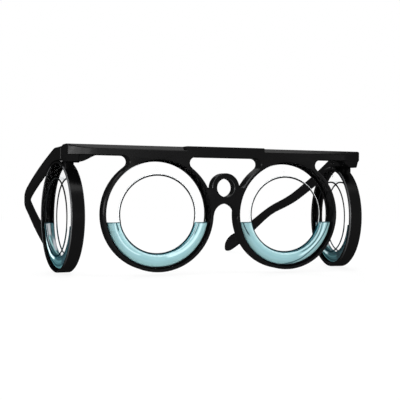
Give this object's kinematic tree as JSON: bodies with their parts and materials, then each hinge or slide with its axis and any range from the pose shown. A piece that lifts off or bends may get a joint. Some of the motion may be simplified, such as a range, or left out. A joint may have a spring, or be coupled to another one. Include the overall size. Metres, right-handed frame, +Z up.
{
  "type": "motion sickness glasses",
  "caption": "Lens-less black glasses frame with clear liquid tubes in round rims at the front and the sides, a bridge loop and folding temples.",
  "frame": {"origin": "centre of the outer box at its base, which is the level of the side rims' lowest points", "axes": "+X to the right as seen from the front, +Y from the front face back to the temple tips, +Z up"},
  "size_m": [0.1744, 0.1522, 0.0644],
  "materials": {
    "frame_black": "black moulded nylon with a satin face",
    "side_rim_black": "black moulded nylon with a satin face",
    "temple_black": "black moulded nylon with a satin face",
    "clear_tube": "water-clear polished plastic",
    "clear_cover": "water-clear polished plastic",
    "plug_clear": "clear soft plastic",
    "cyan_liquid": "pale cyan liquid",
    "screw_steel": "zinc plated steel",
    "insert_brass": "turned brass"
  },
  "bodies": {
    "front": {"front_frame": "frame_black", "side_rim_left": "side_rim_black", "side_rim_right": "side_rim_black", "tube_front_left": "clear_tube", "cover_front_left": "clear_cover", "plug_front_left": "plug_clear", "tube_front_right": "clear_tube", "cover_front_right": "clear_cover", "plug_front_right": "plug_clear", "tube_side_left": "clear_tube", "cover_side_left": "clear_cover", "plug_side_left": "plug_clear", "tube_side_right": "clear_tube", "cover_side_right": "clear_cover", "plug_side_right": "plug_clear", "hinge_screw_left": "screw_steel", "hinge_insert_left": "insert_brass", "hinge_screw_right": "screw_steel", "hinge_insert_right": "insert_brass"},
    "temple_left": {"temple_left": "temple_black"},
    "temple_right": {"temple_right": "temple_black"},
    "liquid_front_left": {"liquid_front_left": "cyan_liquid"},
    "liquid_front_right": {"liquid_front_right": "cyan_liquid"},
    "liquid_side_left": {"liquid_side_left": "cyan_liquid"},
    "liquid_side_right": {"liquid_side_right": "cyan_liquid"}
  },
  "joints": [
    {"name": "temple_left_fold", "type": "hinge", "parent": "front", "child": "temple_left", "pos_m": [-0.0734, -0.05529, 0.06], "axis": [0, 0, -1], "range_deg": [0, 88]},
    {"name": "temple_right_fold", "type": "hinge", "parent": "front", "child": "temple_right", "pos_m": [0.0734, -0.05529, 0.06], "axis": [0, 0, 1], "range_deg": [0, 82]},
    {"name": "liquid_front_left_swirl", "type": "hinge", "parent": "front", "child": "liquid_front_left", "pos_m": [-0.035, -0.07183, 0.0303], "axis": [0, 1, 0], "continuous": true},
    {"name": "liquid_front_right_swirl", "type": "hinge", "parent": "front", "child": "liquid_front_right", "pos_m": [0.035, -0.07183, 0.0303], "axis": [0, 1, 0], "continuous": true},
    {"name": "liquid_side_left_swirl", "type": "hinge", "parent": "front", "child": "liquid_side_left", "pos_m": [-0.0783, -0.04773, 0.0282], "axis": [-0.9954, -0.0958, 0], "continuous": true},
    {"name": "liquid_side_right_swirl", "type": "hinge", "parent": "front", "child": "liquid_side_right", "pos_m": [0.0783, -0.04773, 0.0282], "axis": [0.9954, -0.0958, 0], "continuous": true}
  ]
}
